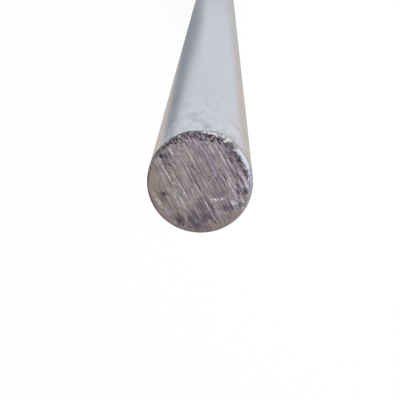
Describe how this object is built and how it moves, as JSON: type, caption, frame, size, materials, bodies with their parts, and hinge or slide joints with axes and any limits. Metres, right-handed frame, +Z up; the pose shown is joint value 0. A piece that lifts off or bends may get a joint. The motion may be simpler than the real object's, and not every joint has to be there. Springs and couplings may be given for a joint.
{
  "type": "round metal bar",
  "caption": "Solid round bar of drawn steel, sawn square at its ends: stock for shafts, pins, rails and welded frames.",
  "frame": {"origin": "on the floor, at the middle of the plain end that the bar stands on", "axes": "+Z up along the bar, from the plain end to the sawn end; -Y is the side of the bar that the picture shows"},
  "size_m": [0.025, 0.025, 0.5],
  "materials": {
    "drawn_steel": "cold drawn, satin, with rough sawn ends"
  },
  "bodies": {
    "root": {"round_bar": "drawn_steel"}
  },
  "joints": []
}
